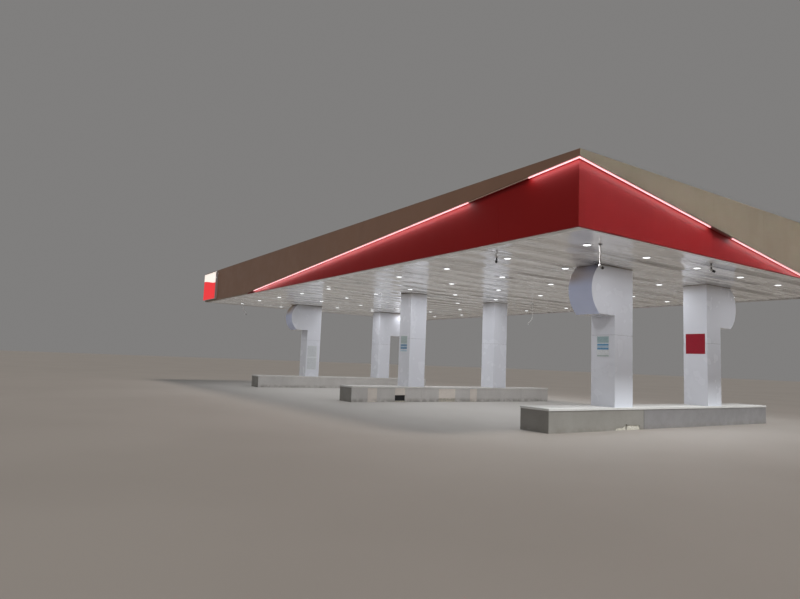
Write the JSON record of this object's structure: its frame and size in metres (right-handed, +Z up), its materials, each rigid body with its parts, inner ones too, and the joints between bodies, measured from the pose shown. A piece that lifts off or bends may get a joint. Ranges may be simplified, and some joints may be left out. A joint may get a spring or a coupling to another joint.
{
  "type": "filling station canopy",
  "caption": "Flat forecourt canopy with a two-colour fascia whose red wedges rise to opposite corners, on clad columns with disc heads that stand on stone-faced islands",
  "frame": {"origin": "on the ground under the middle of the roof, on the underside of the middle island", "axes": "+Z up, +Y along the roof's length from the front row of columns to the back row, +X along the islands"},
  "size_m": [15.14, 26.1, 6.09],
  "materials": {
    "concrete": "matt",
    "stone_facing": "honed, dusty",
    "stone_slab": "honed, worn",
    "column_panel": "gloss white",
    "soffit_panel": "gloss white strips",
    "lamp_rim": "satin white",
    "lamp_lens": "lit, frosted",
    "beige_panel": "satin beige",
    "red_panel": "satin red",
    "light_strip": "lit, frosted",
    "sign_face": "lit, frosted",
    "parapet_sheet": "matt grey",
    "painted_steel": "matt primer",
    "galvanised_steel": "dull zinc",
    "deck_sheet": "dull, weathered",
    "bracket_paint": "satin",
    "camera_shell": "gloss"
  },
  "bodies": {
    "root": {"island_core_a": "concrete", "island_facing_a": "stone_facing", "island_slab_a": "stone_slab", "column_cladding_a1": "column_panel", "column_cladding_a2": "column_panel", "island_core_b": "concrete", "island_facing_b": "stone_facing", "island_slab_b": "stone_slab", "column_cladding_b1": "column_panel", "column_cladding_b2": "column_panel", "island_core_c": "concrete", "island_facing_c": "stone_facing", "island_slab_c": "stone_slab", "column_cladding_c1": "column_panel", "column_cladding_c2": "column_panel", "disc_head_a1": "column_panel", "disc_head_a2": "column_panel", "disc_head_c1": "column_panel", "disc_head_c2": "column_panel", "soffit_front": "soffit_panel", "soffit_middle": "soffit_panel", "soffit_back": "soffit_panel", "upper_band_front": "beige_panel", "red_panel_front": "red_panel", "upper_band_left": "beige_panel", "red_panel_left": "red_panel", "upper_band_back": "beige_panel", "red_panel_back": "red_panel", "upper_band_right": "beige_panel", "red_panel_right": "red_panel", "column_cores": "painted_steel", "downlight_cans": "lamp_rim", "downlight_lenses": "lamp_lens", "red_corner_angles": "red_panel", "light_strips_short": "light_strip", "light_strips_long": "light_strip", "sign_boxes": "sign_face", "parapet_walls": "parapet_sheet", "parapet_copings": "beige_panel", "main_beams": "painted_steel", "purlin_set": "galvanised_steel", "roof_deck": "deck_sheet", "ridge_cap": "deck_sheet", "gutters": "galvanised_steel", "camera_brackets": "bracket_paint", "camera_bodies": "camera_shell"}
  },
  "joints": []
}
